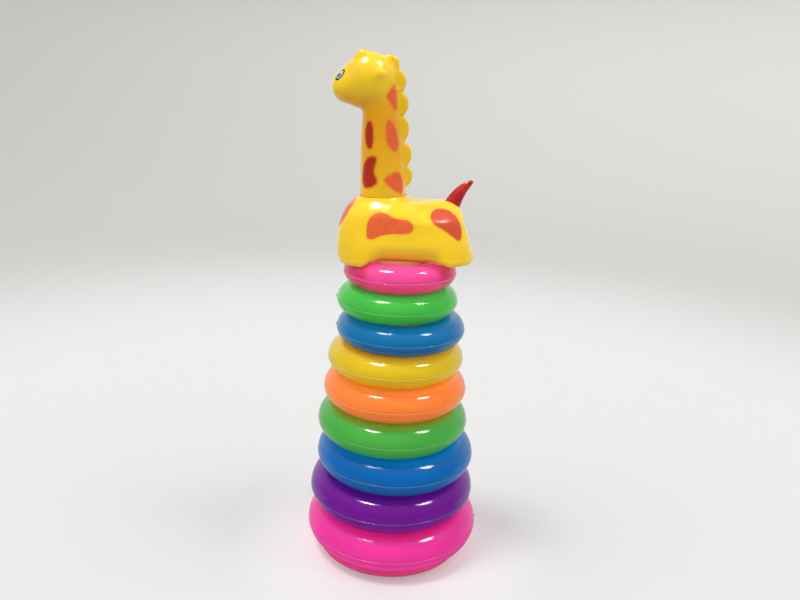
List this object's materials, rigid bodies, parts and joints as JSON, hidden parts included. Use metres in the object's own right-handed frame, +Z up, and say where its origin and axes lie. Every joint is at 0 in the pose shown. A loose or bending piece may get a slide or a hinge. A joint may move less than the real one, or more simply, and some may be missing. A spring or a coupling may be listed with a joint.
{
  "type": "animal-topped stacking ring tower",
  "caption": "Stacking toy: coloured hollow rings, largest at the bottom, threaded on a tapered post on a foot disc, topped by a giraffe that plugs over the post.",
  "frame": {"origin": "centre of the foot disc's underside, which is also the foot of the post's axis", "axes": "+Z up along the post; the giraffe faces -X, so its flanks face -Y and +Y"},
  "size_m": [0.12, 0.12, 0.3366],
  "materials": {
    "rose_plastic": "gloss moulded polypropylene, dark rose",
    "ring_1_plastic": "high-gloss moulded plastic, pink, faintly translucent",
    "ring_2_plastic": "high-gloss moulded plastic, green, faintly translucent",
    "ring_3_plastic": "high-gloss moulded plastic, blue, faintly translucent",
    "ring_4_plastic": "high-gloss moulded plastic, yellow, faintly translucent",
    "ring_5_plastic": "high-gloss moulded plastic, orange, faintly translucent",
    "ring_6_plastic": "high-gloss moulded plastic, green, faintly translucent",
    "ring_7_plastic": "high-gloss moulded plastic, blue, faintly translucent",
    "ring_8_plastic": "high-gloss moulded plastic, purple, faintly translucent",
    "ring_9_plastic": "high-gloss moulded plastic, magenta, faintly translucent",
    "giraffe_yellow": "semi-gloss moulded plastic, warm yellow with sprayed orange-red spots",
    "tail_red": "semi-gloss moulded plastic, crimson",
    "eye_print": "printed oval eye: black rim, white and blue middle"
  },
  "bodies": {
    "stand": {"foot_disc": "rose_plastic", "post_lower_tube": "rose_plastic", "post_upper_tube": "rose_plastic"},
    "ring_9": {"ring_9_lower_shell": "ring_9_plastic", "ring_9_upper_shell": "ring_9_plastic"},
    "ring_8": {"ring_8_lower_shell": "ring_8_plastic", "ring_8_upper_shell": "ring_8_plastic"},
    "ring_7": {"ring_7_lower_shell": "ring_7_plastic", "ring_7_upper_shell": "ring_7_plastic"},
    "ring_6": {"ring_6_lower_shell": "ring_6_plastic", "ring_6_upper_shell": "ring_6_plastic"},
    "ring_5": {"ring_5_lower_shell": "ring_5_plastic", "ring_5_upper_shell": "ring_5_plastic"},
    "ring_4": {"ring_4_lower_shell": "ring_4_plastic", "ring_4_upper_shell": "ring_4_plastic"},
    "ring_3": {"ring_3_lower_shell": "ring_3_plastic", "ring_3_upper_shell": "ring_3_plastic"},
    "ring_2": {"ring_2_lower_shell": "ring_2_plastic", "ring_2_upper_shell": "ring_2_plastic"},
    "ring_1": {"ring_1_lower_shell": "ring_1_plastic", "ring_1_upper_shell": "ring_1_plastic"},
    "giraffe_body": {"giraffe_body_shell": "giraffe_yellow", "giraffe_belly_plate": "giraffe_yellow", "giraffe_tail": "tail_red"},
    "giraffe_neck": {"giraffe_neck_and_head": "giraffe_yellow", "giraffe_eye_near": "eye_print", "giraffe_eye_far": "eye_print"}
  },
  "joints": [
    {"name": "ring_9_lift", "type": "slide", "parent": "stand", "child": "ring_9", "axis": [0, 0, 1], "range_m": [0, 0.225]},
    {"name": "ring_8_lift", "type": "slide", "parent": "ring_9", "child": "ring_8", "axis": [0, 0, 1], "range_m": [0, 0.197]},
    {"name": "ring_7_lift", "type": "slide", "parent": "ring_8", "child": "ring_7", "axis": [0, 0, 1], "range_m": [0, 0.171]},
    {"name": "ring_6_lift", "type": "slide", "parent": "ring_7", "child": "ring_6", "axis": [0, 0, 1], "range_m": [0, 0.145]},
    {"name": "ring_5_lift", "type": "slide", "parent": "ring_6", "child": "ring_5", "axis": [0, 0, 1], "range_m": [0, 0.121]},
    {"name": "ring_4_lift", "type": "slide", "parent": "ring_5", "child": "ring_4", "axis": [0, 0, 1], "range_m": [0, 0.098]},
    {"name": "ring_3_lift", "type": "slide", "parent": "ring_4", "child": "ring_3", "axis": [0, 0, 1], "range_m": [0, 0.077]},
    {"name": "ring_2_lift", "type": "slide", "parent": "ring_3", "child": "ring_2", "axis": [0, 0, 1], "range_m": [0, 0.057]},
    {"name": "ring_1_lift", "type": "slide", "parent": "ring_2", "child": "ring_1", "axis": [0, 0, 1], "range_m": [0, 0.038]},
    {"name": "giraffe_lift", "type": "slide", "parent": "ring_1", "child": "giraffe_body", "axis": [0, 0, 1], "range_m": [0, 0.02]},
    {"name": "neck_swivel", "type": "hinge", "parent": "giraffe_body", "child": "giraffe_neck", "pos_m": [-0.012, 0, 0.2479], "axis": [0, 0, 1], "continuous": true}
  ]
}
